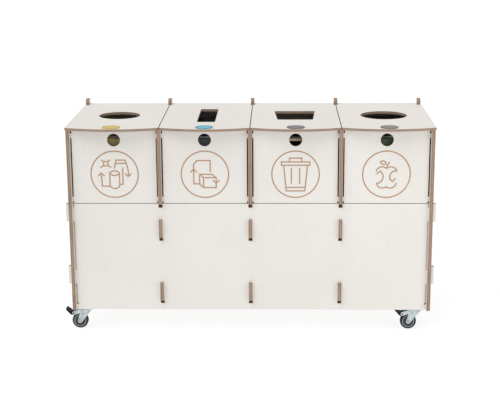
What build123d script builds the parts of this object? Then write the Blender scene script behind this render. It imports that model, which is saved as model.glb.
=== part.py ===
from build123d import *
import os

# Recycling station of four compartments in a row. Boards slot and hook together; it stands on four casters.
# Millimetres. +Z is up, the front faces -Y, and the floor is at Z 0.

# --- Driving dimensions: boards -------------------------------------------------------------------
PLY = 15.0  # thickness of the uprights, panels and doors
BAYS = 4
PITCH = 350.0  # from the middle of one upright to the middle of the next
DEPTH = 565.0  # an upright, from its front edge to its rear edge
BASE_Z = 94.0  # underside of the cabinet, and the casters' overall height
PANEL_TOP_Z = 527.0  # top edge of the front panel
BACK_TOP_Z = 805.0  # top edge of the back panel
LID_Z = 820.0  # underside of the lids
REST_GAP = 0.5  # air between an upright's top and the lids
POST_TOP_Z = 852.0  # top of the hinge posts
POST_DEPTH = 34.0
POST_ROUND = 10.0
SIDE_GAP = 5.0  # air between a door or a hung panel and the upright beside it
SLOT_PLAY = 0.2  # air at each side of a board in its slot
FILLER_SET_BACK = 3.0  # how far the strips in the front panel's end gaps lie behind its face

# --- Driving dimensions: hooks, ears and tabs -----------------------------------------------------
HOOK_HEIGHT = 72.0
HOOK_LIP = 14.5  # the part of a hook that stands up in front of the board it holds
DIVIDER_HOOKS_Z = (134.5, 391.5)  # undersides of the dividers' front hooks
BACK_HOOKS_Z = (134.5, 391.5, 640.0)
EARS_Z = (201.0, 455.0)  # undersides of the front panel's ears
BACK_EARS_Z = (201.0, 455.0, 700.0)
EAR_REACH = 12.0  # how far an ear stands out of the side panel
NOTCH_DEPTH = 16.0
FOOT_Z = 118.0  # below this the hung panels reach the side panels
RELIEF_RADIUS = 3.0
FLOOR_TABS = ((100.0, 180.0), (385.0, 465.0))  # the floor's side tabs, from the front edge
DIVIDER_TABS = ((130.0, 200.0), (365.0, 435.0))

# --- Driving dimensions: doors --------------------------------------------------------------------
DOOR_SET_BACK = PLY  # the doors' faces lie this far behind the uprights' front edges
DOOR_BOTTOM_Z = 529.0
DOOR_TOP_Z = 818.0
DOOR_PIVOT_Z = 545.5
DOOR_EAR_HEIGHT = 18.0
DOOR_EAR_IN = 7.0  # how far a pivot ear reaches into the upright
DOOR_PIVOT_HOLE = 12.0
DOOR_STOP_EAR_Z = 796.0
DOOR_STOP_PLAY = 0.7
FINGER_HOLE = 25.0
FINGER_HOLE_Z = 779.0
RING_RADIUS = 94.0
RING_Z = 644.0
LINE_WIDTH = 5.0
ENGRAVE = 1.0
EDGE_ROUND = 0.8

# --- Driving dimensions: lids ---------------------------------------------------------------------
LID_BOARD = 10.0
LID_SEAM = 3.0
LID_OVERHANG = 3.0  # past the side panels
LID_BOW = 34.0  # how far the front edge swells out in the middle
LID_NOTCH = 30.0  # from the hinge axis to where a lid takes its full width
LID_POST_GAP = 1.0
LID_EAR_DEPTH = 14.0
LID_EAR_IN = 7.0
LID_PIVOT_HOLE = 8.9
OPENING_BACK = 268.0  # middle of the openings, behind the uprights' front edges
ROUND_SMALL = 82.5
ROUND_LARGE = 93.0
PAPER_SLOT = (72.0, 295.0)
CUP_OPENING = (140.0, 165.0, 195.0)  # width in front, width behind, depth
OPENING_ROUND = 8.0
DISC_RADIUS = 34.0
DISC_THICKNESS = 3.0
DISC_MARGIN = 1.0  # from a disc's front to the lid's front edge
DISC_ROUND = 0.8

# --- Driving dimensions: bags and what carries them -----------------------------------------------
RING_BOARD = 9.0
RING_RAIL = 40.0
RING_BOTTOM_Z = 769.0
RING_FRONT = 46.0
RING_BACK = 526.0
RING_SIDE_GAP = 2.0
CLEAT = 15.0
CLEAT_FRONT = 60.0
CLEAT_BACK = 512.0
FILM = 3.0
FLANGE = 2.0
FLANGE_INSET = 3.0
LINER_BOTTOM_Z = 125.0
LINER_TAPER = 8.0

# --- Driving dimensions: magnetic door catches ----------------------------------------------------
BLOCK = (14.0, 15.0, 38.0)
BLOCK_BOTTOM_Z = 775.0
CATCH_GAP = 0.5
MAGNET_RADIUS = 5.0
MAGNET_LENGTH = 6.0
PLATE_RADIUS = 5.5
MAGNET_PLAY = 0.2
PLATE_THICKNESS = 2.0

# --- Driving dimensions: casters ------------------------------------------------------------------
WHEEL_RADIUS = 32.0
WHEEL_WIDTH = 22.0
TYRE_ROUND = 5.0
HUB_RADIUS = 24.0
HUB_BOSS = 9.0
HUB_WIDTH = 25.0
HUB_RIM = 20.0
HUB_RECESS = 5.0
TRAIL = 30.0
CASTER_INSET_X = 49.0
CASTER_INSET_Y = 65.0
TOP_PLATE = 62.0
TOP_PLATE_THICKNESS = 2.5
TOP_PLATE_ROUND = 8.0
BOLT_SPACING = 44.0
BOLT_RADIUS = 3.0
BOLT_HEAD = 5.0
BOLT_HEAD_HEIGHT = 4.0
BOLT_TIP_Z = 117.0
NUT_HEIGHT = 5.0
BOLT_HOLE = 3.3
RACE_OUTER = 20.0
RACE_INNER = 12.0
RACE_HEIGHT = 3.5
CROWN_RADIUS = 24.0
CROWN_HEIGHT = 8.7
KINGPIN_RADIUS = 4.0
KINGPIN_HEAD = 7.0
KINGPIN_HEAD_HEIGHT = 3.5
LEG_INNER = 13.5
LEG_THICKNESS = 2.5
LEG_END = 9.0
AXLE_RADIUS = 4.0
AXLE_HEAD = 6.0
AXLE_HEAD_HEIGHT = 4.0
RUNNING = 0.05  # radial clearance of a turning shaft
AIR = 0.3  # clearance between faces that slide past each other
PEDAL_PIVOT = (-54.0, 64.0)
PEDAL_LUG = 7.0
PEDAL_PIN = 3.0
PEDAL_INNER = 12.8
PEDAL_TREAD = 17.0
PEDAL_HUB = 5.5

# --- Worked out from the above --------------------------------------------------------------------
OUTER_HALF = BAYS * PITCH / 2 + PLY / 2
INNER_HALF = OUTER_HALF - PLY
PEDAL_TIP = 86.0
LEFT_REACH = OUTER_HALF - CASTER_INSET_X + PEDAL_TIP
RIGHT_REACH = OUTER_HALF + EAR_REACH
MIDDLE = (LEFT_REACH - RIGHT_REACH) / 2  # the cabinet's middle: the left pedal reaches out further
FRONT = -(DEPTH - LID_BOW) / 2  # the uprights' front edges
REAR = FRONT + DEPTH
BACK_FACE = REAR - 2 * PLY  # the back panel's inner face
PANEL_FACE = FRONT + DOOR_SET_BACK
DOOR_AXIS_Y = PANEL_FACE + PLY / 2
LID_AXIS_Y = REAR - POST_DEPTH / 2
LID_AXIS_Z = LID_Z + LID_BOARD / 2
LID_TOP_Z = LID_Z + LID_BOARD
UPRIGHT_TOP_Z = LID_Z - REST_GAP
FLOOR_TOP_Z = BASE_Z + PLY
DOOR_WIDTH = PITCH - PLY - 2 * SIDE_GAP
UPRIGHTS = [MIDDLE + (i - BAYS / 2) * PITCH for i in range(BAYS + 1)]
BAY_MIDDLES = [MIDDLE + (i - (BAYS - 1) / 2) * PITCH for i in range(BAYS)]
RACE_Z = BASE_Z - TOP_PLATE_THICKNESS - RACE_HEIGHT
CROWN_TOP_Z = RACE_Z - AIR
CROWN_BOTTOM_Z = CROWN_TOP_Z - CROWN_HEIGHT
CUT = 1.0  # how far a cutting tool runs past the face that it cuts


# --- Shapes ---------------------------------------------------------------------------------------
def block(x, y, z):
    """A box from the pair of values on each axis."""
    size = [b - a for a, b in (x, y, z)]
    return Pos(*[(a + b) / 2 for a, b in (x, y, z)]) * Box(*size)


def rod(axis, centre, radius, length):
    """A cylinder along X, Y or Z about its middle."""
    turn = {"X": Rot(0, 90, 0), "Y": Rot(90, 0, 0), "Z": Rot(0, 0, 0)}[axis]
    return Pos(*centre) * turn * Cylinder(radius, length)


def around(middle, half):
    return (middle - half, middle + half)


# --- Uprights -------------------------------------------------------------------------------------
def post(x):
    """The hinge post at the rear of an upright, with a rounded front top corner."""
    span = around(x, PLY / 2)
    solid = block(span, (REAR - POST_DEPTH, REAR), (UPRIGHT_TOP_Z - PLY, POST_TOP_Z))
    corner = solid.edges().filter_by(Axis.X).group_by(Axis.Z)[-1].sort_by(Axis.Y)[0]
    return fillet(corner, POST_ROUND)


def pivot_holes(x):
    lid_hole = rod("X", (x, LID_AXIS_Y, LID_AXIS_Z), LID_PIVOT_HOLE, 2 * PLY)
    return lid_hole + rod("X", (x, DOOR_AXIS_Y, DOOR_PIVOT_Z), DOOR_PIVOT_HOLE, 2 * PLY)


def hook(x, bottom, panel, face):
    """A hook through a hung panel: panel is the board's Y span, face the Y span of the standing lip."""
    span = around(x, PLY / 2)
    neck = block(span, panel, (bottom, bottom + HOOK_HEIGHT - HOOK_LIP))
    return neck + block(span, face, (bottom, bottom + HOOK_HEIGHT))


def divider(x):
    """An upright between two bays: hooks hold the front and back panels, tabs stand in the floor."""
    span = around(x, PLY / 2)
    solid = block(span, (FRONT + 2 * PLY, BACK_FACE), (FLOOR_TOP_Z, UPRIGHT_TOP_Z))
    solid += block(span, (FRONT, FRONT + 2 * PLY), (PANEL_TOP_Z, UPRIGHT_TOP_Z))
    solid += block(span, (BACK_FACE, REAR), (BACK_TOP_Z, UPRIGHT_TOP_Z))
    solid += post(x)
    for bottom in DIVIDER_HOOKS_Z:
        solid += hook(x, bottom, (PANEL_FACE, PANEL_FACE + PLY), (FRONT, PANEL_FACE))
    for bottom in BACK_HOOKS_Z:
        solid += hook(x, bottom, (BACK_FACE, BACK_FACE + PLY), (BACK_FACE + PLY, REAR))
    for start, end in DIVIDER_TABS:
        solid += block(span, (FRONT + start, FRONT + end), (BASE_Z, FLOOR_TOP_Z))
    return solid - pivot_holes(x)


def side_panel(x):
    """An end upright: it hangs on the ears of the front and back panels and stands over the floor's tabs."""
    span = around(x, PLY / 2)
    through = around(x, PLY)
    solid = block(span, (FRONT, REAR), (BASE_Z, UPRIGHT_TOP_Z)) + post(x)
    for ears, face in ((EARS_Z, PANEL_FACE), (BACK_EARS_Z, BACK_FACE)):
        board = (face - SLOT_PLAY, face + PLY + SLOT_PLAY)
        for bottom in ears:
            top = bottom + HOOK_HEIGHT - HOOK_LIP
            solid -= block(through, board, (top - HOOK_HEIGHT, top))
    for start, end in FLOOR_TABS:
        tab = (FRONT + start - SLOT_PLAY, FRONT + end + SLOT_PLAY)
        solid -= block(through, tab, (BASE_Z - CUT, FLOOR_TOP_Z))
    return solid - pivot_holes(x)


# --- Panels hung on the hooks ---------------------------------------------------------------------
def hung_panel(face, top, hooks, ears):
    """A full-width board with slots for the dividers' hooks and ears that hold the side panels."""
    board = (face, face + PLY)
    through = (face - CUT, face + PLY + CUT)
    half = INNER_HALF - SIDE_GAP
    solid = block(around(MIDDLE, half), board, (BASE_Z, top))
    solid += block(around(MIDDLE, INNER_HALF), board, (BASE_Z, FOOT_Z))
    for bottom in ears:
        neck = (bottom, bottom + HOOK_HEIGHT - HOOK_LIP)
        solid += block(around(MIDDLE, OUTER_HALF + EAR_REACH), board, neck)
        for side in (-1, 1):
            lip = sorted(MIDDLE + side * reach for reach in (OUTER_HALF, OUTER_HALF + EAR_REACH))
            solid += block(lip, board, (bottom, bottom + HOOK_HEIGHT))
    for side in (-1, 1):
        solid -= rod("Y", (MIDDLE + side * half, face + PLY / 2, FOOT_Z), RELIEF_RADIUS, 2 * PLY)
    for x in UPRIGHTS[1:-1]:
        slot = around(x, PLY / 2 + SLOT_PLAY)
        solid -= block(slot, through, (top - NOTCH_DEPTH, top + CUT))
        for bottom in hooks:
            neck_top = bottom + HOOK_HEIGHT - HOOK_LIP
            solid -= block(slot, through, (neck_top - HOOK_HEIGHT, neck_top))
    return solid


def corner_fillers():
    """Strips that close the gaps beside the front panel's ends, above and below its ears."""
    depth = (PANEL_FACE + FILLER_SET_BACK, PANEL_FACE + PLY)
    bottoms = [FOOT_Z + RELIEF_RADIUS] + [z + HOOK_HEIGHT - HOOK_LIP for z in EARS_Z]
    tops = list(EARS_Z) + [PANEL_TOP_Z]
    strips = []
    for side in (-1, 1):
        span = sorted(MIDDLE + side * reach for reach in (INNER_HALF - SIDE_GAP + SLOT_PLAY, INNER_HALF))
        for bottom, top in zip(bottoms, tops):
            strips.append(block(span, depth, (bottom + SLOT_PLAY, top - SLOT_PLAY)))
    return Compound(strips)


def caster_places():
    """Name, swivel axis, heading and brake of each caster; at heading 0 the wheel trails to the left."""
    reach = OUTER_HALF - CASTER_INSET_X
    return [
        ("caster_front_left", MIDDLE - reach, FRONT + CASTER_INSET_Y, 0.0, True),
        ("caster_front_right", MIDDLE + reach, FRONT + CASTER_INSET_Y, 0.0, True),
        ("caster_rear_left", MIDDLE - reach, REAR - CASTER_INSET_Y, -90.0, False),
        ("caster_rear_right", MIDDLE + reach, REAR - CASTER_INSET_Y, -90.0, False),
    ]


def bolt_places():
    half = BOLT_SPACING / 2
    corners = [(dx, dy) for dx in (-half, half) for dy in (-half, half)]
    return [(x + dx, y + dy) for _, x, y, _, _ in caster_places() for dx, dy in corners]


def floor_panel():
    """The bottom board: tabs go through the side panels, and the dividers stand in its mortises."""
    thick = (BASE_Z, FLOOR_TOP_Z)
    solid = block(around(MIDDLE, INNER_HALF), (PANEL_FACE + PLY, BACK_FACE), thick)
    for start, end in FLOOR_TABS:
        solid += block(around(MIDDLE, OUTER_HALF), (FRONT + start, FRONT + end), thick)
    for x in UPRIGHTS[1:-1]:
        for start, end in DIVIDER_TABS:
            mortise = (FRONT + start - SLOT_PLAY, FRONT + end + SLOT_PLAY)
            solid -= block(around(x, PLY / 2 + SLOT_PLAY), mortise, (BASE_Z - CUT, FLOOR_TOP_Z + CUT))
    for x, y in bolt_places():
        solid -= rod("Z", (x, y, BASE_Z + PLY / 2), BOLT_HOLE, 2 * PLY)
    return solid


# --- Pictograms, drawn in units of the ring's radius ----------------------------------------------
def widened(path, points):
    """A path given the engraving's width, with round ends and corners."""
    shape = trace(path, LINE_WIDTH)
    for point in points:
        shape += Pos(*point) * Circle(LINE_WIDTH / 2)
    return shape


def scaled(points):
    return [(x * RING_RADIUS, y * RING_RADIUS) for x, y in points]


def line(*points, close=False):
    corners = scaled(points)
    return widened(Polyline(*corners, close=close), corners)


def arc(*points):
    corners = scaled(points)
    return widened(ThreePointArc(*corners), (corners[0], corners[-1]))


def arrow(tip, direction, size=0.12):
    """An arrowhead with its point at tip; direction is 1 for up and -1 for down."""
    x, y = tip
    wing = y - direction * size
    return line((x - size, wing), (x, y), (x + size, wing))


def packaging_sign():
    """A drinks can, a carton and a wrapped sweet, with an arrow up on the left and down on the right."""
    can = line((-0.2, 0.05), (-0.2, -0.5)) + line((0.2, 0.05), (0.2, -0.5))
    can += arc((-0.2, -0.5), (0.0, -0.6), (0.2, -0.5))
    can += arc((-0.2, 0.05), (0.0, -0.05), (0.2, 0.05)) + arc((-0.2, 0.05), (0.0, 0.15), (0.2, 0.05))
    carton = line((0.0, 0.26), (0.08, 0.6), (0.44, 0.6), (0.5, 0.42)) + line((0.06, 0.46), (0.44, 0.46))
    carton += line((0.34, 0.28), (0.34, -0.42), (0.22, -0.42))
    sweet = line((-0.44, 0.36), (-0.44, 0.54), (-0.26, 0.54), (-0.26, 0.36), close=True)
    sweet += line((-0.44, 0.36), (-0.56, 0.3)) + line((-0.26, 0.36), (-0.14, 0.3))
    sweet += line((-0.44, 0.54), (-0.52, 0.6)) + line((-0.26, 0.54), (-0.18, 0.6))
    arrows = line((-0.2, -0.5), (-0.52, -0.5), (-0.55, 0.06)) + arrow((-0.55, 0.06), 1)
    arrows += arc((0.5, 0.42), (0.56, 0.2), (0.56, -0.1)) + arrow((0.56, -0.1), -1)
    return can + carton + sweet + arrows


def paper_sign():
    """A sheet with a cut corner beside a flat box, with an arrow up and an arrow down."""
    sheet = line((-0.2, -0.4), (-0.46, -0.4), (-0.46, 0.42), (-0.32, 0.58), (0.22, 0.58), (0.22, 0.12))
    sheet += arrow((-0.46, 0.22), 1)
    box = line((-0.06, -0.14), (-0.06, -0.56), (0.46, -0.56), (0.46, -0.14), close=True)
    box += line((-0.06, -0.14), (-0.22, 0.0), (0.28, 0.0), (0.46, -0.14))
    return sheet + box + line((-0.22, 0.0), (-0.22, -0.42), (-0.06, -0.56)) + arrow((0.46, -0.38), -1)


def waste_sign():
    """A lidded waste bin with a handle and two ribs."""
    lid = line((-0.58, 0.38), (-0.58, 0.52), (0.58, 0.52), (0.58, 0.38), close=True)
    handle = line((-0.25, 0.52), (-0.25, 0.68), (0.25, 0.68), (0.25, 0.52))
    body = line((-0.49, 0.38), (-0.38, -0.7), (0.38, -0.7), (0.49, 0.38)) + line((-0.4, -0.55), (0.4, -0.55))
    ribs = line((-0.17, 0.24), (-0.17, -0.38)) + line((0.17, 0.24), (0.17, -0.38))
    return lid + handle + body + ribs


def food_sign():
    """An apple core whose bitten sides turn into two arrows."""
    crown = arc((-0.42, 0.14), (-0.24, 0.31), (0.0, 0.24)) + arc((0.0, 0.24), (0.24, 0.31), (0.42, 0.14))
    base = arc((-0.4, -0.38), (-0.22, -0.57), (0.0, -0.52)) + arc((0.0, -0.52), (0.22, -0.57), (0.4, -0.38))
    bites = arc((-0.4, -0.38), (-0.14, -0.14), (-0.27, 0.14)) + arc((0.42, 0.14), (0.14, -0.12), (0.25, -0.3))
    stem = line((0.0, 0.3), (0.1, 0.5)) + arc((-0.02, 0.44), (-0.12, 0.56), (-0.26, 0.52))
    stem += arc((-0.26, 0.52), (-0.16, 0.42), (-0.02, 0.44))
    return crown + base + bites + stem + arrow((-0.27, 0.14), 1) + arrow((0.25, -0.3), -1)


SIGNS = (packaging_sign, paper_sign, waste_sign, food_sign)


# --- Doors ----------------------------------------------------------------------------------------
def engraving(x, sign):
    """The ring and its pictogram, sunk into a door's face."""
    face = Plane(origin=(x, PANEL_FACE, RING_Z), x_dir=(1, 0, 0), z_dir=(0, -1, 0))
    drawing = Circle(RING_RADIUS) - Circle(RING_RADIUS - LINE_WIDTH) + sign()
    return extrude(face * drawing, amount=-ENGRAVE)


def catch_places(x):
    """Where a bay's two magnets stand, on the blocks beside the door's top corners."""
    offset = PITCH / 2 - PLY / 2 - BLOCK[0] / 2
    return [(x + side * offset, BLOCK_BOTTOM_Z + BLOCK[2] / 2) for side in (-1, 1)]


def door(x, sign):
    """A drop front: it turns on its lower ears, and its upper ears keep it centred."""
    board = (PANEL_FACE, PANEL_FACE + PLY)
    solid = block(around(x, DOOR_WIDTH / 2), board, (DOOR_BOTTOM_Z, DOOR_TOP_Z))
    rim = solid.faces().sort_by(Axis.Y)[0].edges()
    solid = fillet(rim, EDGE_ROUND)
    pivot = around(DOOR_PIVOT_Z, DOOR_EAR_HEIGHT / 2)
    solid += block(around(x, DOOR_WIDTH / 2 + SIDE_GAP + DOOR_EAR_IN), board, pivot)
    stop = around(DOOR_STOP_EAR_Z, DOOR_EAR_HEIGHT / 2)
    solid += block(around(x, DOOR_WIDTH / 2 + SIDE_GAP - DOOR_STOP_PLAY), board, stop)
    solid -= rod("Y", (x, PANEL_FACE + PLY / 2, FINGER_HOLE_Z), FINGER_HOLE, 2 * PLY)
    for cx, cz in catch_places(x):
        solid -= rod("Y", (cx, PANEL_FACE + PLY, cz), PLATE_RADIUS, 2 * PLATE_THICKNESS)
    return solid - engraving(x, sign)


def door_catch_plates(x):
    """Steel discs let into the back of a door."""
    middle = PANEL_FACE + PLY - PLATE_THICKNESS / 2
    radius = PLATE_RADIUS - MAGNET_PLAY
    plates = [rod("Y", (cx, middle, cz), radius, PLATE_THICKNESS) for cx, cz in catch_places(x)]
    return Compound(plates)


def catch_blocks():
    """Blocks on the uprights that a shut door stops against; each has a pocket for its magnet."""
    blocks = []
    start = PANEL_FACE + PLY + CATCH_GAP
    for x in BAY_MIDDLES:
        for cx, cz in catch_places(x):
            span = (cz - BLOCK[2] / 2, cz + BLOCK[2] / 2)
            solid = block(around(cx, BLOCK[0] / 2), (start, start + BLOCK[1]), span)
            blocks.append(solid - rod("Y", (cx, start, cz), MAGNET_RADIUS, 2 * MAGNET_LENGTH))
    return Compound(blocks)


def catch_magnets():
    middle = PANEL_FACE + PLY + CATCH_GAP + MAGNET_LENGTH / 2
    places = [place for x in BAY_MIDDLES for place in catch_places(x)]
    return Compound([rod("Y", (x, middle, z), MAGNET_RADIUS - MAGNET_PLAY, MAGNET_LENGTH) for x, z in places])


# --- Lids -----------------------------------------------------------------------------------------
def lid_edges(bay):
    """The X of a lid's left and right edges: the outer ones pass the side panels."""
    left = UPRIGHTS[bay] + LID_SEAM / 2
    right = UPRIGHTS[bay + 1] - LID_SEAM / 2
    if bay == 0:
        left = UPRIGHTS[0] - PLY / 2 - LID_OVERHANG
    if bay == BAYS - 1:
        right = UPRIGHTS[-1] + PLY / 2 + LID_OVERHANG
    return left, right


def lid_plan(left, right):
    """A rectangle whose front edge is a shallow arc through both front corners."""
    radius = (right - left) ** 2 / (8 * LID_BOW) + LID_BOW / 2
    middle = (left + right) / 2
    sheet = Pos(middle, (FRONT - LID_BOW + REAR) / 2) * Rectangle(right - left, DEPTH + LID_BOW)
    return sheet & (Pos(middle, FRONT - LID_BOW + radius) * Circle(radius))


def rounded(shape):
    return fillet(shape.vertices(), OPENING_ROUND)


def cup_outline():
    front, back, depth = CUP_OPENING
    near = [(-front / 2, -depth / 2), (front / 2, -depth / 2)]
    corners = near + [(back / 2, depth / 2), (-back / 2, depth / 2)]
    return make_face(Polyline(*corners, close=True))


def lid_openings():
    """The four deposit openings, left to right: cans, paper, waste and food."""
    return [Circle(ROUND_SMALL), rounded(Rectangle(*PAPER_SLOT)), rounded(cup_outline()), Circle(ROUND_LARGE)]


def lid(bay, opening):
    """A hinged lid: notches let it turn past the posts, and its ears turn in their holes."""
    left, right = lid_edges(bay)
    middle = (left + right) / 2
    x = BAY_MIDDLES[bay]
    solid = extrude(Pos(0, 0, LID_Z) * lid_plan(left, right), amount=LID_BOARD)
    solid = fillet(solid.faces().sort_by(Axis.Z)[-1].edges(), EDGE_ROUND)
    notch = (LID_AXIS_Y - LID_NOTCH, REAR + CUT)
    thick = (LID_Z - CUT, LID_TOP_Z + CUT)
    body_half = PITCH / 2 - PLY / 2 - LID_POST_GAP
    solid -= block((left - CUT, x - body_half), notch, thick)
    solid -= block((x + body_half, right + CUT), notch, thick)
    ear = around(LID_AXIS_Y, LID_EAR_DEPTH / 2)
    solid += block(around(x, PITCH / 2 - PLY / 2 + LID_EAR_IN), ear, (LID_Z, LID_TOP_Z))
    hole = Pos(middle, FRONT + OPENING_BACK, LID_Z - CUT) * opening
    return solid - extrude(hole, amount=LID_BOARD + 2 * CUT)


def lid_disc(bay):
    """The coloured disc on a lid, close behind its front edge."""
    middle = sum(lid_edges(bay)) / 2
    y = FRONT - LID_BOW + DISC_MARGIN + DISC_RADIUS
    disc = rod("Z", (middle, y, LID_TOP_Z + DISC_THICKNESS / 2), DISC_RADIUS, DISC_THICKNESS)
    rim = disc.faces().sort_by(Axis.Z)[-1].edges()
    return fillet(rim, DISC_ROUND)


# --- Bags and what carries them -------------------------------------------------------------------
def bag_ring(x):
    """The board ring that holds a bag's rim down on the cleats."""
    half = PITCH / 2 - PLY / 2 - RING_SIDE_GAP
    high = (RING_BOTTOM_Z, RING_BOTTOM_Z + RING_BOARD)
    ring = block(around(x, half), (FRONT + RING_FRONT, FRONT + RING_BACK), high)
    inside = (FRONT + RING_FRONT + RING_RAIL, FRONT + RING_BACK - RING_RAIL)
    return ring - block(around(x, half - RING_RAIL), inside, (high[0] - CUT, high[1] + CUT))


def liner(x):
    """A hanging bag: a flat rim under the ring, and walls that draw in towards the bottom."""
    half = PITCH / 2 - PLY / 2 - RING_SIDE_GAP - RING_RAIL
    y = (FRONT + RING_FRONT + RING_RAIL, FRONT + RING_BACK - RING_RAIL)
    middle = sum(y) / 2
    length = y[1] - y[0]

    def tapered(inset, bottom, top):
        upper = Pos(x, middle, top) * Rectangle(2 * (half - inset), length - 2 * inset)
        shrink = inset + LINER_TAPER
        lower = Pos(x, middle, bottom) * Rectangle(2 * (half - shrink), length - 2 * shrink)
        return loft([lower, upper])

    flange_x = around(x, half + RING_RAIL - FLANGE_INSET)
    flange_y = (y[0] - RING_RAIL + FLANGE_INSET, y[1] + RING_RAIL - FLANGE_INSET)
    bag = tapered(1.0, LINER_BOTTOM_Z, RING_BOTTOM_Z)
    bag += block(flange_x, flange_y, (RING_BOTTOM_Z - FLANGE, RING_BOTTOM_Z))
    inner = tapered(1.0 + FILM, LINER_BOTTOM_Z + FILM, RING_BOTTOM_Z + CUT)
    return bag - inner


def bag_cleats():
    """Strips along the uprights, just under the bags' rims."""
    top = RING_BOTTOM_Z - FLANGE
    y = (FRONT + CLEAT_FRONT, FRONT + CLEAT_BACK)
    strips = []
    for x in BAY_MIDDLES:
        for side in (-1, 1):
            edge = PITCH / 2 - PLY / 2
            span = sorted((x + side * edge, x + side * (edge - CLEAT)))
            strips.append(block(span, y, (top - CLEAT, top)))
    return Compound(strips)


# --- Casters, drawn about the swivel axis with the wheel trailing to -X ---------------------------
def placed(shape, x, y, heading):
    return Pos(x, y, 0) * Rot(0, 0, heading) * shape


def caster_plate():
    """The top plate with its kingpin, whose head carries the fork."""
    half = TOP_PLATE / 2
    low = BASE_Z - TOP_PLATE_THICKNESS
    plate = block((-half, half), (-half, half), (low, BASE_Z))
    plate = fillet(plate.edges().filter_by(Axis.Z), TOP_PLATE_ROUND)
    head_top = CROWN_BOTTOM_Z - AIR
    head_bottom = head_top - KINGPIN_HEAD_HEIGHT
    plate += rod("Z", (0, 0, (low + head_bottom) / 2), KINGPIN_RADIUS, low - head_bottom)
    plate += rod("Z", (0, 0, (head_top + head_bottom) / 2), KINGPIN_HEAD, KINGPIN_HEAD_HEIGHT)
    spacing = BOLT_SPACING / 2
    for dx in (-spacing, spacing):
        for dy in (-spacing, spacing):
            plate -= rod("Z", (dx, dy, low), BOLT_HOLE, 2 * PLY)
    return plate


def swivel_raceway():
    middle = (0, 0, RACE_Z + RACE_HEIGHT / 2)
    return rod("Z", middle, RACE_OUTER, RACE_HEIGHT) - rod("Z", middle, RACE_INNER, 2 * RACE_HEIGHT)


def leg_outline(braked):
    """A leg from the side: the crown's length above, drawn in to the axle, and a lug for the pedal's pin."""
    shoulder = Pos(-3, CROWN_BOTTOM_Z + 2) * Rectangle(2 * CROWN_RADIUS - 6, 4)
    outline = make_hull((shoulder + Pos(-TRAIL, WHEEL_RADIUS) * Circle(LEG_END)).edges())
    if braked:
        outline += make_hull((shoulder + Pos(*PEDAL_PIVOT) * Circle(PEDAL_LUG)).edges())
    return outline


def caster_fork(braked):
    """A pressed fork: a round crown under the raceway and two legs down to the axle."""
    crown = rod("Z", (0, 0, (CROWN_TOP_Z + CROWN_BOTTOM_Z) / 2), CROWN_RADIUS, CROWN_HEIGHT)
    half = LEG_INNER + LEG_THICKNESS
    bridge = block((1 - CROWN_RADIUS, CROWN_RADIUS - 7), (-half, half), (CROWN_BOTTOM_Z, CROWN_BOTTOM_Z + 4))
    fork = crown + bridge
    outline = leg_outline(braked)
    for start in (LEG_INNER, -half):
        side = Plane(origin=(0, start, 0), x_dir=(1, 0, 0), z_dir=(0, -1, 0))
        fork += extrude(side * outline, amount=-LEG_THICKNESS)
    fork -= rod("Z", (0, 0, CROWN_BOTTOM_Z), KINGPIN_RADIUS + RUNNING, 4 * CROWN_HEIGHT)
    fork -= rod("Y", (-TRAIL, 0, WHEEL_RADIUS), AXLE_RADIUS + RUNNING, 4 * half)
    if braked:
        fork -= rod("Y", (PEDAL_PIVOT[0], 0, PEDAL_PIVOT[1]), PEDAL_PIN + RUNNING, 4 * half)
    return fork


def caster_tyre():
    centre = (-TRAIL, 0, WHEEL_RADIUS)
    tyre = rod("Y", centre, WHEEL_RADIUS, WHEEL_WIDTH)
    tyre = fillet(tyre.edges().filter_by(GeomType.CIRCLE), TYRE_ROUND)
    return tyre - rod("Y", centre, HUB_RADIUS + RUNNING, 2 * WHEEL_WIDTH)


def caster_hub():
    """A moulded hub: a rim, a thin web and a boss that runs on the axle."""
    centre = (-TRAIL, 0, WHEEL_RADIUS)
    hub = rod("Y", centre, HUB_RADIUS, WHEEL_WIDTH)
    for side in (-1, 1):
        face = (-TRAIL, side * WHEEL_WIDTH / 2, WHEEL_RADIUS)
        hub -= rod("Y", face, HUB_RIM, 2 * HUB_RECESS)
    hub += rod("Y", centre, HUB_BOSS, HUB_WIDTH)
    return hub - rod("Y", centre, AXLE_RADIUS + RUNNING, 2 * HUB_WIDTH)


def hexagon(centre, radius, height, axis):
    turn = Rot(90, 0, 0) if axis == "Y" else Rot(0, 0, 0)
    return Pos(*centre) * turn * extrude(RegularPolygon(radius, 6), amount=height / 2, both=True)


def caster_axle():
    """A bolt through both legs, with a hexagon head and a nut."""
    outer = LEG_INNER + LEG_THICKNESS
    axle = rod("Y", (-TRAIL, 0, WHEEL_RADIUS), AXLE_RADIUS, 2 * outer + AXLE_HEAD_HEIGHT)
    for side in (-1, 1):
        middle = side * (outer + AXLE_HEAD_HEIGHT / 2)
        axle += hexagon((-TRAIL, middle, WHEEL_RADIUS), AXLE_HEAD, AXLE_HEAD_HEIGHT, "Y")
    return axle


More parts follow.
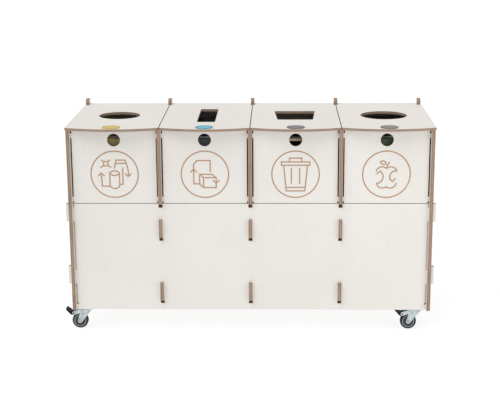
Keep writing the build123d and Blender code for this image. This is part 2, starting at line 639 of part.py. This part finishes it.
def caster_pedal():
    """A brake lever on its pin: a hub between the legs, a lip above the tyre and a wide tread outside."""
    x, z = PEDAL_PIVOT
    side = Plane(origin=(0, PEDAL_INNER, 0), x_dir=(1, 0, 0), z_dir=(0, -1, 0))
    lever = make_face(Polyline((x, z + 5), (x - 2, z - 6), (x - 6, z - 10), (x - 11, z - 7),
                               (x - 15, z), (x - 15, z + 10), close=True))
    lever += Pos(x, z) * Circle(PEDAL_HUB)
    pedal = extrude(side * lever, amount=2 * PEDAL_INNER)
    tread_side = Plane(origin=(0, PEDAL_TREAD, 0), x_dir=(1, 0, 0), z_dir=(0, -1, 0))
    tread = make_face(Polyline((x - 12, z - 6), (x - 12, z + 8), (2 - PEDAL_TIP, z + 21),
                               (-PEDAL_TIP, z + 17), (-PEDAL_TIP + 4, z + 12), close=True))
    plate = extrude(tread_side * tread, amount=2 * PEDAL_TREAD)
    pedal += plate
    length = 2 * (LEG_INNER + LEG_THICKNESS)
    return pedal + rod("Y", (x, 0, z), PEDAL_PIN, length)


def caster_bolts():
    """Four bolts for each caster, with their heads under the plate and nuts on the floor."""
    bolts = []
    head = BASE_Z - TOP_PLATE_THICKNESS - BOLT_HEAD_HEIGHT
    for x, y in bolt_places():
        bolt = rod("Z", (x, y, (head + BOLT_TIP_Z) / 2), BOLT_RADIUS, BOLT_TIP_Z - head)
        bolt += hexagon((x, y, head + BOLT_HEAD_HEIGHT / 2), BOLT_HEAD, BOLT_HEAD_HEIGHT, "Z")
        bolt += hexagon((x, y, FLOOR_TOP_Z + NUT_HEIGHT / 2), BOLT_HEAD, NUT_HEIGHT, "Z")
        bolts.append(bolt)
    return Compound(bolts)


# --- All the pieces -------------------------------------------------------------------------------
def cabinet():
    return {
        "side_panel_left": side_panel(UPRIGHTS[0]),
        "divider_left": divider(UPRIGHTS[1]),
        "divider_middle": divider(UPRIGHTS[2]),
        "divider_right": divider(UPRIGHTS[3]),
        "side_panel_right": side_panel(UPRIGHTS[4]),
        "front_panel": hung_panel(PANEL_FACE, PANEL_TOP_Z, DIVIDER_HOOKS_Z, EARS_Z),
        "back_panel": hung_panel(BACK_FACE, BACK_TOP_Z, BACK_HOOKS_Z, BACK_EARS_Z),
        "floor_panel": floor_panel(),
        "corner_fillers": corner_fillers(),
        "bag_cleats": bag_cleats(),
        "catch_blocks": catch_blocks(),
        "catch_magnets": catch_magnets(),
    }


def bays():
    pieces = {}
    for bay, (x, sign, opening) in enumerate(zip(BAY_MIDDLES, SIGNS, lid_openings())):
        number = bay + 1
        pieces[f"door_{number}"] = door(x, sign)
        pieces[f"door_{number}_catch_plates"] = door_catch_plates(x)
        pieces[f"lid_{number}"] = lid(bay, opening)
        pieces[f"lid_disc_{number}"] = lid_disc(bay)
        pieces[f"bag_ring_{number}"] = bag_ring(x)
        pieces[f"liner_{number}"] = liner(x)
    return pieces


def casters():
    pieces = {"caster_bolts": caster_bolts()}
    raceways = []
    for name, x, y, heading, braked in caster_places():
        shapes = {
            "plate": caster_plate(),
            "fork": caster_fork(braked),
            "tyre": caster_tyre(),
            "hub": caster_hub(),
            "axle": caster_axle(),
        }
        if braked:
            shapes["pedal"] = caster_pedal()
        for piece, shape in shapes.items():
            pieces[f"{name}_{piece}"] = placed(shape, x, y, heading)
        raceways.append(placed(swivel_raceway(), x, y, heading))
    pieces["swivel_raceways"] = Compound(raceways)
    return pieces


os.makedirs("parts", exist_ok=True)
for node, shape in {**cabinet(), **bays(), **casters()}.items():
    export_step(shape, f"parts/{node}.step")
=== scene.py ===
from math import cos, pi, radians, sin

import bpy
from mathutils import Matrix, Vector, noise


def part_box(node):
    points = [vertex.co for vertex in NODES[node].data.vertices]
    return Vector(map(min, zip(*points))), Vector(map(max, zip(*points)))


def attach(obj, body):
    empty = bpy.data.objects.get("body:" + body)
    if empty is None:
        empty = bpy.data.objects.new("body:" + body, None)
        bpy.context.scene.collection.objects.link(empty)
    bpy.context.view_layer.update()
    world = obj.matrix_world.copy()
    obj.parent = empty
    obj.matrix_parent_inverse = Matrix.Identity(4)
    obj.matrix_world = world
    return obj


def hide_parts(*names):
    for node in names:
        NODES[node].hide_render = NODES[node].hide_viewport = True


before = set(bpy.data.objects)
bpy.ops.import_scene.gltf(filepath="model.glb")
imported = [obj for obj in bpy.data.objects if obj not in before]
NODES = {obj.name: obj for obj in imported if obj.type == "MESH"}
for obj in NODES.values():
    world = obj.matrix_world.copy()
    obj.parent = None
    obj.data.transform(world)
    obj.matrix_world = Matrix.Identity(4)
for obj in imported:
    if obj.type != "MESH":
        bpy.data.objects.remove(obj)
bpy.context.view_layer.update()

# The recycling station, drawn around its packed boards. Metres, +Z up, the doors face -Y.
BAYS = (1, 2, 3, 4)

# --- Camera: a step to the right of the middle, at eye height -------------------------------------
EYE = (0.120, -4.896, 1.700)
EYE_TURN = 1.344  # degrees to the left
EYE_DROP = 14.459  # degrees down
EYE_ROLL = -0.298
LENS = 88.81


def add_camera():
    data = bpy.data.cameras.new("camera")
    data.lens = LENS
    data.sensor_width = 36.0
    camera = bpy.data.objects.new("camera", data)
    turn = Matrix.Rotation(radians(EYE_TURN), 4, "Z") @ Matrix.Rotation(radians(90 - EYE_DROP), 4, "X")
    camera.rotation_euler = (turn @ Matrix.Rotation(radians(EYE_ROLL), 4, "Z")).to_euler()
    camera.location = EYE
    bpy.context.scene.collection.objects.link(camera)
    bpy.context.scene.camera = camera


# --- Node trees, written short --------------------------------------------------------------------
class Tree:
    """One material's nodes. A value given as a socket is linked, and anything else is set."""

    def __init__(self, name):
        self.material = bpy.data.materials.new(name)
        self.material.use_nodes = True
        self.tree = self.material.node_tree
        self.surface = self.tree.nodes["Principled BSDF"]
        coords = self.add("ShaderNodeTexCoord")
        self.place = coords.outputs["Object"]
        self.normal = coords.outputs["Normal"]

    def put(self, socket, value):
        if isinstance(value, bpy.types.NodeSocket):
            self.tree.links.new(value, socket)
        elif socket.type == "RGBA":
            socket.default_value = (*value, 1.0)
        else:
            socket.default_value = value

    def add(self, kind, inputs=(), **settings):
        node = self.tree.nodes.new(kind)
        for key, value in settings.items():
            setattr(node, key, value)
        for key, value in dict(inputs).items():
            self.put(node.inputs[key], value)
        return node

    def math(self, operation, *values):
        node = self.add("ShaderNodeMath", operation=operation)
        for socket, value in zip(node.inputs, values):
            self.put(socket, value)
        return node.outputs[0]

    def ramp(self, value, low, high, start=0.0, end=1.0):
        """value's span from low to high, as a smooth step from start to end."""
        inputs = {"Value": value, "From Min": low, "From Max": high, "To Min": start, "To Max": end}
        return self.add("ShaderNodeMapRange", inputs, interpolation_type="SMOOTHSTEP").outputs[0]

    def mix(self, factor, first, second):
        node = self.add("ShaderNodeMix", data_type="RGBA")
        for socket, value in zip((node.inputs[0], node.inputs[6], node.inputs[7]), (factor, first, second)):
            self.put(socket, value)
        return node.outputs[2]

    def axes(self, socket):
        return self.add("ShaderNodeSeparateXYZ", {0: socket}).outputs

    def noise(self, scale, detail=3.0, stretch=(1, 1, 1), roughness=0.55):
        mapping = self.add("ShaderNodeMapping", {"Vector": self.place, "Scale": stretch})
        inputs = {"Vector": mapping.outputs[0], "Scale": scale, "Detail": detail, "Roughness": roughness}
        return self.add("ShaderNodeTexNoise", inputs).outputs["Fac"]

    def radius(self, centre, axis):
        """The distance from a line through centre along axis, 0 to 2."""
        offset = self.add("ShaderNodeVectorMath", {0: self.place, 1: centre}, operation="SUBTRACT")
        across = tuple(0.0 if i == axis else 1.0 for i in range(3))
        flat = self.add("ShaderNodeVectorMath", {0: offset.outputs[0], 1: across}, operation="MULTIPLY")
        return self.add("ShaderNodeVectorMath", {0: flat.outputs[0]}, operation="LENGTH").outputs["Value"]

    def bump(self, height, strength, distance):
        inputs = {"Height": height, "Strength": strength, "Distance": distance}
        return self.add("ShaderNodeBump", inputs).outputs[0]

    def set(self, **values):
        for key, value in values.items():
            self.put(self.surface.inputs[key.replace("_", " ")], value)


# --- Plywood --------------------------------------------------------------------------------------
# Faces: the finish, the clouds in it and its grain
WHITE_FACE = ((0.700, 0.672, 0.640), (0.680, 0.650, 0.614), (0.60, 0.55, 0.49))
BIRCH_FACE = ((0.50, 0.37, 0.25), (0.43, 0.30, 0.19), (0.34, 0.23, 0.14))
FILLER_FACE = ((0.62, 0.545, 0.465), (0.57, 0.495, 0.42), (0.49, 0.40, 0.32))
# Edges: the veneers that run one way, the ones that run across, and their fibres
WORN_EDGE = ((0.40, 0.285, 0.21), (0.175, 0.118, 0.083), (0.44, 0.33, 0.25))
# Birch edges painted lighter than bare birch, as painted light: they colour the bag rings' rails as if lit
# inside the shaded bays
PAINTED_LIGHT_BIRCH_EDGE = ((0.80, 0.62, 0.46), (0.60, 0.44, 0.31), (0.86, 0.70, 0.54))
GLUE = (0.11, 0.07, 0.045)
SCORCH = (0.50, 0.315, 0.185)
SCORCH_DARK = (0.36, 0.21, 0.115)
GRAIN_ALONG = {0: 2, 1: 2, 2: 1}  # the grain's direction on a board, by its thickness axis


def stretched(axis, share):
    return tuple(share if i == axis else 1.0 for i in range(3))


def board_material(name, axis, low, high, face_colours, edge_colours, plies):
    """Faced plywood: axis is its thickness axis, 0 to 2, and low to high the board's span along it."""
    t = Tree(name)
    depth = t.math("DIVIDE", t.math("SUBTRACT", t.axes(t.place)[axis], low), high - low)
    on_face = t.ramp(t.math("ABSOLUTE", t.axes(t.normal)[axis]), 0.62, 0.74)
    # The face: a pale finish with a trace of the birch's grain under it
    finish, cloud, grain_colour = face_colours
    grain = t.noise(120.0, 6.0, stretched(GRAIN_ALONG[axis], 0.05), 0.65)
    face = t.mix(t.ramp(t.noise(2.6, 4.0), 0.35, 0.65), finish, cloud)
    face = t.mix(t.ramp(grain, 0.5, 0.78, 0.0, 0.30), face, grain_colour)
    # The edge: veneers of crossing grain, with dark glue lines between them
    layers = t.math("MULTIPLY", depth, float(plies))
    odd = t.math("MODULO", t.math("FLOOR", layers), 2.0)
    fibre = t.noise(900.0, 4.0, stretched(axis, 9.0), 0.7)
    light, dark, fibre_colour = edge_colours
    edge = t.mix(t.ramp(fibre, 0.35, 0.75, 0.0, 0.4), t.mix(odd, light, dark), fibre_colour)
    edge = t.mix(t.ramp(t.math("PINGPONG", layers, 0.5), 0.0, 0.08, 0.6, 0.0), edge, GLUE)
    edge = t.mix(t.ramp(t.noise(11.0, 3.0), 0.42, 0.7, 0.0, 0.35), edge, dark)
    # Engraving: a face under the board's surface is scorched
    sunk = t.math("MULTIPLY", t.ramp(depth, 0.02, 0.04), t.ramp(depth, 0.96, 0.98, 1.0, 0.0))
    scorch = t.mix(t.ramp(t.noise(260.0, 4.0), 0.35, 0.7), SCORCH, SCORCH_DARK)
    colour = t.mix(t.math("MULTIPLY", sunk, on_face), t.mix(on_face, edge, face), scorch)
    rubbed = t.ramp(t.noise(45.0, 3.0), 0.3, 0.7, -0.05, 0.07)
    rough = t.math("ADD", t.ramp(on_face, 0.0, 1.0, 0.8, 0.5), rubbed)
    relief = t.math("ADD", t.math("MULTIPLY", grain, 0.5), t.math("MULTIPLY", fibre, 0.5))
    t.set(Base_Color=colour, Roughness=rough, Specular_IOR_Level=0.35)
    t.set(Normal=t.bump(relief, 0.14, 0.0006))
    return t.material


# --- Plastic, rubber, film and zinc ---------------------------------------------------------------
DISC_COLOURS = ((0.58, 0.43, 0.07), (0.09, 0.39, 0.53), (0.15, 0.145, 0.15), (0.21, 0.18, 0.15))
RIM_COLOURS = ((0.47, 0.35, 0.055), (0.07, 0.29, 0.39), (0.10, 0.10, 0.102), (0.125, 0.115, 0.095))
FILM_COLOURS = (  # each bay's film, and the same film where it is pulled
    ((0.24, 0.185, 0.035), (0.49, 0.44, 0.135)),
    ((0.008, 0.020, 0.025), (0.080, 0.092, 0.104)),
    ((0.006, 0.006, 0.006), (0.020, 0.020, 0.020)),
    ((0.014, 0.030, 0.004), (0.070, 0.112, 0.020)),
)


def disc_material(bay):
    """Sheet plastic, lighter inside a turned rim, with a faint speckle."""
    t = Tree(f"disc_{bay}_plastic")
    low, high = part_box(f"lid_disc_{bay}")
    radius = t.radius(tuple((low + high) / 2), 2)
    reach = (high.x - low.x) / 2
    colour = t.mix(t.ramp(radius, 0.70 * reach, 0.76 * reach), DISC_COLOURS[bay - 1], RIM_COLOURS[bay - 1])
    speckle = t.ramp(t.noise(420.0, 3.0), 0.45, 0.75, 0.0, 0.35)
    colour = t.mix(speckle, colour, RIM_COLOURS[bay - 1])
    groove = t.math("ABSOLUTE", t.math("SUBTRACT", radius, 0.73 * reach))
    relief = t.math("ADD", t.ramp(groove, 0.0, 0.0012), t.math("MULTIPLY", t.noise(900.0), 0.15))
    t.set(Base_Color=colour, Roughness=t.ramp(t.noise(60.0), 0.3, 0.7, 0.34, 0.48))
    t.set(Normal=t.bump(relief, 0.4, 0.0005))
    return t.material


def zinc_material():
    """Bright zinc plate: bluish, clouded, with drawing marks from the press."""
    t = Tree("zinc_plate")
    colour = t.mix(t.ramp(t.noise(70.0, 4.0), 0.3, 0.7), (0.60, 0.67, 0.68), (0.38, 0.44, 0.45))
    marks = t.noise(500.0, 3.0, (1, 1, 0.08))
    t.set(Base_Color=colour, Metallic=1.0, Roughness=t.ramp(marks, 0.3, 0.7, 0.26, 0.46))
    t.set(Normal=t.bump(marks, 0.08, 0.0002))
    return t.material


def rubber_material():
    t = Tree("tyre_rubber")
    dust = t.ramp(t.noise(90.0, 5.0), 0.45, 0.75)
    t.set(Base_Color=t.mix(dust, (0.012, 0.014, 0.018), (0.045, 0.046, 0.048)))
    t.set(Roughness=t.ramp(dust, 0.0, 1.0, 0.5, 0.75), Normal=t.bump(t.noise(800.0), 0.2, 0.0003))
    t.set(Specular_IOR_Level=0.25)
    return t.material


def hub_material(node):
    """Moulded grey plastic, rubbed lighter in patches, with a painted highlight: the rim is painted lighter
    than the sunk web, as light on its edge.
    """
    t = Tree(node + "_plastic")
    low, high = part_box(node)
    size = high - low
    axis = min(range(3), key=lambda i: size[i])
    radius = t.radius(tuple((low + high) / 2), axis)
    # Painted highlight: a light ring along the hub's rim
    rim = t.ramp(radius, 0.87 * size.z / 2, 0.90 * size.z / 2)
    wear = t.ramp(t.noise(70.0, 4.0), 0.4, 0.7, 0.0, 0.5)
    colour = t.mix(rim, (0.035, 0.037, 0.042), (0.30, 0.31, 0.34))
    t.set(Base_Color=t.mix(wear, colour, (0.14, 0.145, 0.155)), Roughness=t.ramp(wear, 0.0, 0.5, 0.4, 0.55))
    t.set(Normal=t.bump(t.noise(1500.0, 2.0), 0.12, 0.0002))
    return t.material


def pedal_material():
    """Moulded black plastic with a fine spark-eroded texture."""
    t = Tree("pedal_plastic")
    wear = t.ramp(t.noise(50.0, 4.0), 0.45, 0.75)
    t.set(Base_Color=t.mix(wear, (0.006, 0.006, 0.006), (0.016, 0.016, 0.016)))
    t.set(Roughness=t.ramp(wear, 0.0, 1.0, 0.45, 0.6), Normal=t.bump(t.noise(1500.0, 2.0), 0.15, 0.0003))
    t.set(Specular_IOR_Level=0.15)
    return t.material


def film_material(bay):
    """Bag film: it shines along its creases and takes a paler tone where it is pulled."""
    t = Tree(f"liner_{bay}_film")
    colour, pulled = FILM_COLOURS[bay - 1]
    stretch = t.ramp(t.noise(16.0, 5.0, (1, 1, 0.3)), 0.36, 0.66)
    creases = t.math("ADD", t.noise(38.0, 6.0, (1, 1, 0.35)), t.math("MULTIPLY", t.noise(160.0, 3.0), 0.25))
    t.set(Base_Color=t.mix(stretch, colour, pulled), Roughness=t.ramp(stretch, 0.0, 1.0, 0.26, 0.42))
    t.set(Normal=t.bump(creases, 0.45, 0.004), Subsurface_Weight=0.2, Subsurface_Radius=(0.004, 0.004, 0.002))
    return t.material


# --- The CAD nodes' materials ---------------------------------------------------------------------
COARSE_PLIES = 5
FINE_PLIES = 7


def dress(node, material):
    """Gives a carried-over CAD node its material."""
    slots = NODES[node].data.materials
    slots.clear()
    slots.append(material)
    for polygon in NODES[node].data.polygons:
        polygon.material_index = 0


def board(node, axis, face_colours=WHITE_FACE, edge_colours=WORN_EDGE, plies=COARSE_PLIES):
    low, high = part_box(node)
    material = board_material(node + "_board", axis, low[axis], high[axis], face_colours, edge_colours, plies)
    dress(node, material)


def dress_boards():
    for node in ("side_panel_left", "side_panel_right", "divider_left", "divider_middle", "divider_right"):
        board(node, 0)
    for node in ("front_panel", "back_panel"):
        board(node, 1)
    board("floor_panel", 2)
    for bay in BAYS:
        board(f"door_{bay}", 1)
        board(f"lid_{bay}", 2)
        # The rings' edges take the birch edges' painted light
        board(f"bag_ring_{bay}", 2, BIRCH_FACE, PAINTED_LIGHT_BIRCH_EDGE, FINE_PLIES)
    board("bag_cleats", 2, BIRCH_FACE, PAINTED_LIGHT_BIRCH_EDGE, FINE_PLIES)
    board("catch_blocks", 1, BIRCH_FACE, PAINTED_LIGHT_BIRCH_EDGE, FINE_PLIES)
    board("corner_fillers", 1, FILLER_FACE, PAINTED_LIGHT_BIRCH_EDGE, FINE_PLIES)


def dress_hardware():
    zinc = zinc_material()
    endings = {"plate": zinc, "fork": zinc, "axle": zinc, "plates": zinc, "magnets": zinc, "bolts": zinc,
               "raceways": zinc, "tyre": rubber_material(), "pedal": pedal_material()}
    for node in NODES:
        ending = node.rsplit("_", 1)[-1]
        if ending in endings:
            dress(node, endings[ending])
        if ending == "hub":
            dress(node, hub_material(node))
    for bay in BAYS:
        dress(f"lid_disc_{bay}", disc_material(bay))


# --- Bags -----------------------------------------------------------------------------------------
RING_RAIL = 0.040  # width of a bag ring's rails
FILM_AIR = 0.001  # from the film to the board that it lies on
CUFF_DROP = {1: 0.090, 2: 0.060, 4: 0.100}  # how far the cuffs of these bays hang below their rings
CUFF_BACK_DROP = 0.030
CUFF_BULGE = 0.006
CUFF_STEPS = 8
CUFF_END = 0.014  # from the ring's side to where the cuff begins to hang
CUFF_SLOPE = 0.04  # over which its hem comes down
RING_EDGE = 0.002  # corner radius of the film around a ring's outer edge
PUCKER = 0.0022
OVER_RING = ((0.0, -3.0), (0.0, 1.0), (0.25, 1.1), (0.5, 1.1), (0.75, 1.1), (0.96, 1.0))
RIM_INSETS = (0.004, 0.016, 0.030)
RIM_CORNER = 0.006
SIDE_STEPS = (46, 66, 46, 66)  # steps along a bag's front, right, back and left
CORNER_STEPS = 6
BODY_ROWS = 30
BAG_CORNER = 0.030
FOLD_DEPTH = 0.020
CRUMPLE = 0.007
SAG = 0.004
BAG_FOOT = (  # height over the bag's bottom, and the shares of its width and depth
    (0.060, 0.97, 0.97), (0.032, 0.91, 0.90), (0.014, 0.80, 0.74),
    (0.005, 0.66, 0.48), (0.001, 0.56, 0.20), (0.000, 0.52, 0.015),
)


def around_rectangle(half_x, half_y, corner):
    """Points and outward normals around a rounded rectangle, from its front left corner."""
    ways = []
    inner_x, inner_y = half_x - corner, half_y - corner
    centres = [(-inner_x, -inner_y), (inner_x, -inner_y), (inner_x, inner_y), (-inner_x, inner_y)]
    for side, steps in enumerate(SIDE_STEPS):
        start, end = Vector(centres[side]), Vector(centres[(side + 1) % 4])
        angle = (side - 1) * pi / 2
        normal = Vector((cos(angle), sin(angle)))
        ways += [(start.lerp(end, i / steps) + corner * normal, normal) for i in range(steps + 1)]
        for i in range(1, CORNER_STEPS):
            bend = angle + i / CORNER_STEPS * pi / 2
            normal = Vector((cos(bend), sin(bend)))
            ways.append((end + corner * normal, normal))
    return ways


def smooth(value, low, high):
    share = min(max((value - low) / (high - low), 0.0), 1.0)
    return share * share * (3 - 2 * share)


def cuff_rows(bay, ring_low, ring_high):
    """The film from its hem up the outside of the ring and over its top."""
    half = (ring_high - ring_low) / 2
    outer = (half.x + FILM_AIR, half.y + 0.4 * FILM_AIR)
    inner = (half.x - RING_RAIL, half.y - RING_RAIL)
    rows = []
    for step in range(CUFF_STEPS + 1):
        hang = 1 - step / CUFF_STEPS
        ring = []
        for point, normal in around_rectangle(*outer, RING_EDGE):
            middle = smooth(half.x - CUFF_END - abs(point.x), 0.0, CUFF_SLOPE)
            drop = CUFF_DROP[bay] if point.y < 0 else CUFF_BACK_DROP
            hem = drop * (0.82 + 0.36 * noise.noise((point.x * 9, bay * 3.1, 0.5)))
            fall = hang * hem * middle * smooth(abs(normal.y), 0.6, 0.95)
            crease = 0.5 + 0.5 * noise.noise((point.x * 30, fall * 8, bay * 7.7))
            out = CUFF_BULGE * middle * smooth(hang, 0.0, 0.35) * (0.25 + crease)
            ring.append((point.x, point.y + out * normal.y, ring_low.z - fall))
        rows.append(ring)
    for share, lift in OVER_RING:
        half_x = outer[0] + share * (inner[0] - outer[0])
        half_y = outer[1] + share * (inner[1] - outer[1])
        ring = []
        for point, _ in around_rectangle(half_x, half_y, RING_EDGE + share * RIM_CORNER):
            pucker = PUCKER * (0.5 + 0.5 * noise.noise((point.x * 40, point.y * 40, bay * 5.3)))
            height = ring_high.z + lift * FILM_AIR + pucker * smooth(share, 0.0, 0.3)
            ring.append((point.x, point.y, height))
        rows.append(ring)
    return rows


def rim_rows(ring_low, ring_high):
    """The film's flat rim, clamped under the ring."""
    half = (ring_high - ring_low) / 2
    rows = []
    for inset in RIM_INSETS:
        outline = around_rectangle(half.x - inset, half.y - inset, RIM_CORNER)
        rows.append([(point.x, point.y, ring_low.z - FILM_AIR) for point, _ in outline])
    return rows


def body_rows(bay, top, bottom, half_x, half_y):
    """The hanging bag: folds that deepen downwards, crumpled film between them, and a gathered foot."""
    hang = top - bottom - BAG_FOOT[0][0]
    levels = [(top - hang * i / BODY_ROWS, 1.0, 1.0) for i in range(BODY_ROWS)]
    levels += [(bottom + height, wide, deep) for height, wide, deep in BAG_FOOT]
    rows = []
    for z, wide, deep in levels:
        down = (top - z) / (top - bottom)
        ring = []
        for point, normal in around_rectangle(half_x, half_y, BAG_CORNER):
            way = Vector((point.x * 13, point.y * 13, bay * 4.7 + 0.9 * down))
            fold = 0.5 + 0.5 * noise.noise(way)
            fine = noise.fractal(Vector((point.x * 26, point.y * 26, z * 9 + bay)), 0.8, 2.0, 4)
            inward = FOLD_DEPTH * (0.35 + 0.65 * down) * fold + CRUMPLE * (0.6 + fine)
            place = point - normal * max(smooth(down, 0.0, 0.25) * inward, 0.0)
            sag = SAG * noise.noise(Vector((point.x * 8, point.y * 8, z * 20 + bay)))
            lift = sag * smooth(down, 0.02, 0.1) * smooth(z, bottom + 0.004, bottom + 0.02)
            ring.append((place.x * wide, place.y * deep, z + lift))
        rows.append(ring)
    return rows


def skin(name, rows):
    """A smooth mesh over closed rows of points, shut by one face on the last row."""
    count = len(rows[0])
    verts = [point for row in rows for point in row]
    faces = []
    for row in range(len(rows) - 1):
        low, high = row * count, (row + 1) * count
        for i in range(count):
            after = (i + 1) % count
            faces.append((low + i, high + i, high + after, low + after))
    faces.append(tuple(reversed(range(len(verts) - count, len(verts)))))
    mesh = bpy.data.meshes.new(name)
    mesh.from_pydata(verts, [], faces)
    mesh.polygons.foreach_set("use_smooth", [True] * len(mesh.polygons))
    return mesh


def add_bag(bay):
    """A film bag hung in its ring."""
    ring_low, ring_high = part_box(f"bag_ring_{bay}")
    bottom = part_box(f"liner_{bay}")[0].z
    centre = (ring_low + ring_high) / 2
    half_x = (ring_high.x - ring_low.x) / 2 - RING_RAIL - FILM_AIR
    half_y = (ring_high.y - ring_low.y) / 2 - RING_RAIL - FILM_AIR
    cuffed = bay in CUFF_DROP
    rows = cuff_rows(bay, ring_low, ring_high) if cuffed else rim_rows(ring_low, ring_high)
    top = ring_high.z - 0.002 if cuffed else ring_low.z - FILM_AIR
    rows += body_rows(bay, top, bottom, half_x, half_y)
    mesh = skin(f"bag_{bay}", [[(x + centre.x, y + centre.y, z) for x, y, z in row] for row in rows])
    mesh.materials.append(film_material(bay))
    bag = bpy.data.objects.new(f"bag_{bay}", mesh)
    bpy.context.scene.collection.objects.link(bag)
    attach(bag, "cabinet")
    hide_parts(f"liner_{bay}")


# --- Studio ---------------------------------------------------------------------------------------
FLOOR_REACH = 60.0
FLOOR_GLOW = 0.82  # the floor is lit from below like a light table, so that shadows on it are faint
SKY = 0.66  # the sky that lights the scene; the camera sees it white
SUN_STRENGTH = 1.84
SUN_SPREAD = 55.0  # degrees
SUN_PLACE = (-1.9, -2.0, 5.0)
FILL_STRENGTH = 30.0
FILL_PLACE = (2.9, -2.6, 1.3)


def add_floor():
    mesh = bpy.data.meshes.new("floor")
    corners = [(-FLOOR_REACH, -FLOOR_REACH, 0), (FLOOR_REACH, -FLOOR_REACH, 0),
               (FLOOR_REACH, FLOOR_REACH, 0), (-FLOOR_REACH, FLOOR_REACH, 0)]
    mesh.from_pydata(corners, [], [(0, 1, 2, 3)])
    floor = bpy.data.objects.new("floor", mesh)
    bpy.context.scene.collection.objects.link(floor)
    t = Tree("floor_paper")
    t.set(Base_Color=t.mix(t.noise(0.6), (0.21, 0.21, 0.21), (0.19, 0.19, 0.19)), Roughness=1.0)
    t.set(Emission_Color=(1.0, 1.0, 1.0), Emission_Strength=FLOOR_GLOW, Specular_IOR_Level=0.0)
    mesh.materials.append(t.material)


def add_light(name, kind, location, target, energy, **settings):
    data = bpy.data.lights.new(name, kind)
    data.energy = energy
    for key, value in settings.items():
        setattr(data, key, value)
    light = bpy.data.objects.new(name, data)
    light.location = location
    light.rotation_euler = (Vector(target) - Vector(location)).to_track_quat("-Z", "Y").to_euler()
    bpy.context.scene.collection.objects.link(light)


def add_studio():
    world = bpy.data.worlds.new("studio")
    world.use_nodes = True
    tree = world.node_tree
    background = tree.nodes["Background"]
    background.inputs["Color"].default_value = (1.0, 1.0, 1.0, 1.0)
    path = tree.nodes.new("ShaderNodeLightPath")
    strength = tree.nodes.new("ShaderNodeMapRange")
    strength.inputs["To Min"].default_value = SKY
    strength.inputs["To Max"].default_value = 1.0
    tree.links.new(path.outputs["Is Camera Ray"], strength.inputs["Value"])
    tree.links.new(strength.outputs[0], background.inputs["Strength"])
    bpy.context.scene.world = world
    bpy.context.scene.view_settings.view_transform = "Standard"
    soft = {"shape": "RECTANGLE", "size": 2.0, "size_y": 1.6}
    add_light("key", "SUN", SUN_PLACE, (0, 0, 0.45), SUN_STRENGTH, angle=radians(SUN_SPREAD))
    add_light("fill", "AREA", FILL_PLACE, (0.7, 0, 0.45), FILL_STRENGTH, **soft)


add_camera()
dress_boards()
dress_hardware()
for bay in BAYS:
    add_bag(bay)
add_floor()
add_studio()
